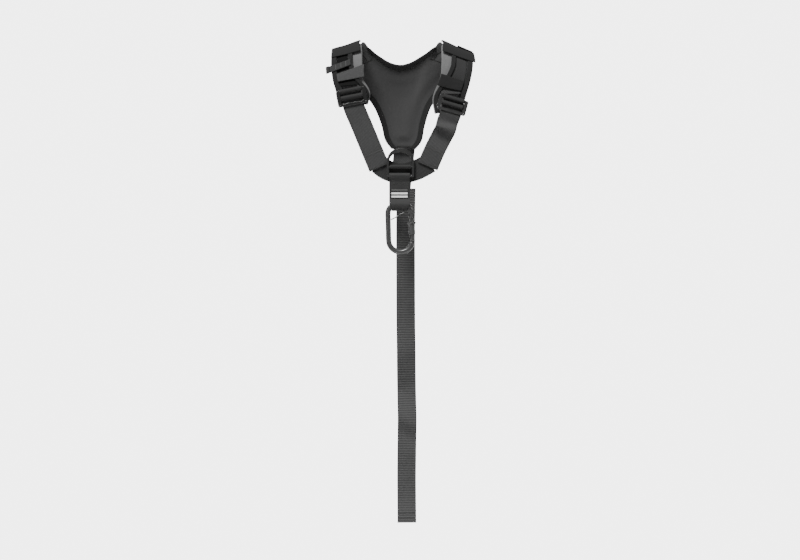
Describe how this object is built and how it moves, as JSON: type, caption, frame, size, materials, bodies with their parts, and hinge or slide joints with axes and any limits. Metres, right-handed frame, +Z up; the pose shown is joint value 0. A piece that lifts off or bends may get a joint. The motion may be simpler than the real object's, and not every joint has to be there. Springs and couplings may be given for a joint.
{
  "type": "climbing chest harness",
  "caption": "Padded Y-shaped chest harness with two buckled chest straps, a front ring with an oval locking connector, and a long ribbed strap hanging from the back pad.",
  "frame": {"origin": "middle of the neckline, at half the yoke's depth, where the yoke sits on the wearer's neck and shoulders", "axes": "+X to the right as seen from the front, +Y from the chest to the back, +Z up along the hanging strap"},
  "size_m": [0.3107, 0.1239, 1.0205],
  "materials": {
    "pad_cloth": "matt dark grey pad lining",
    "pale_cloth": "matt mid grey pad lining",
    "black_tape": "matt black edge tape",
    "webbing": "dark grey twill webbing",
    "ribbed_webbing": "dark grey cross-ribbed webbing",
    "patch_cloth": "grey woven patch",
    "label_cloth": "white stripes on a dark woven label",
    "black_metal": "glossy black anodised metal"
  },
  "bodies": {
    "root": {"back_pad": "pad_cloth", "neck_binding": "black_tape", "side_binding": "black_tape", "left_shoulder_pad": "pale_cloth", "right_shoulder_pad": "pale_cloth", "left_inner_rail": "black_tape", "left_outer_rail": "black_tape", "right_inner_rail": "black_tape", "right_outer_rail": "black_tape", "left_shoulder_webbing": "webbing", "right_shoulder_webbing": "webbing", "left_top_keeper": "black_tape", "right_top_keeper": "black_tape", "right_keeper_tail": "black_tape", "right_mid_keeper": "black_tape", "left_patch": "patch_cloth", "left_gear_loop": "webbing", "left_buckle_frame": "black_metal", "left_upper_wrap": "webbing", "left_lower_wrap": "webbing", "right_buckle_frame": "black_metal", "right_upper_wrap": "webbing", "right_lower_wrap": "webbing", "sternal_ring": "black_metal", "ring_wrap": "webbing", "chest_joint": "webbing", "left_chest_strap": "webbing", "right_chest_strap": "webbing", "front_strap": "webbing", "id_label": "label_cloth", "connector_body": "black_metal", "gate_rivet": "black_metal", "keeper_wire": "black_metal", "dorsal_web": "webbing", "dorsal_strap": "ribbed_webbing", "strap_end": "black_tape"},
    "gate": {"gate": "black_metal"},
    "sleeve": {"lock_sleeve": "black_metal"}
  },
  "joints": [
    {"name": "gate_hinge", "type": "hinge", "parent": "root", "child": "gate", "pos_m": [0.02396, -0.05499, -0.31289], "axis": [0, 1, 0], "range_deg": [0, 22], "stiffness_Nm_per_rad": 0.6, "springref_deg": -17.19},
    {"name": "sleeve_travel", "type": "slide", "parent": "gate", "child": "sleeve", "axis": [0.0262, 0, -0.9997], "range_m": [0, 0.01]}
  ]
}
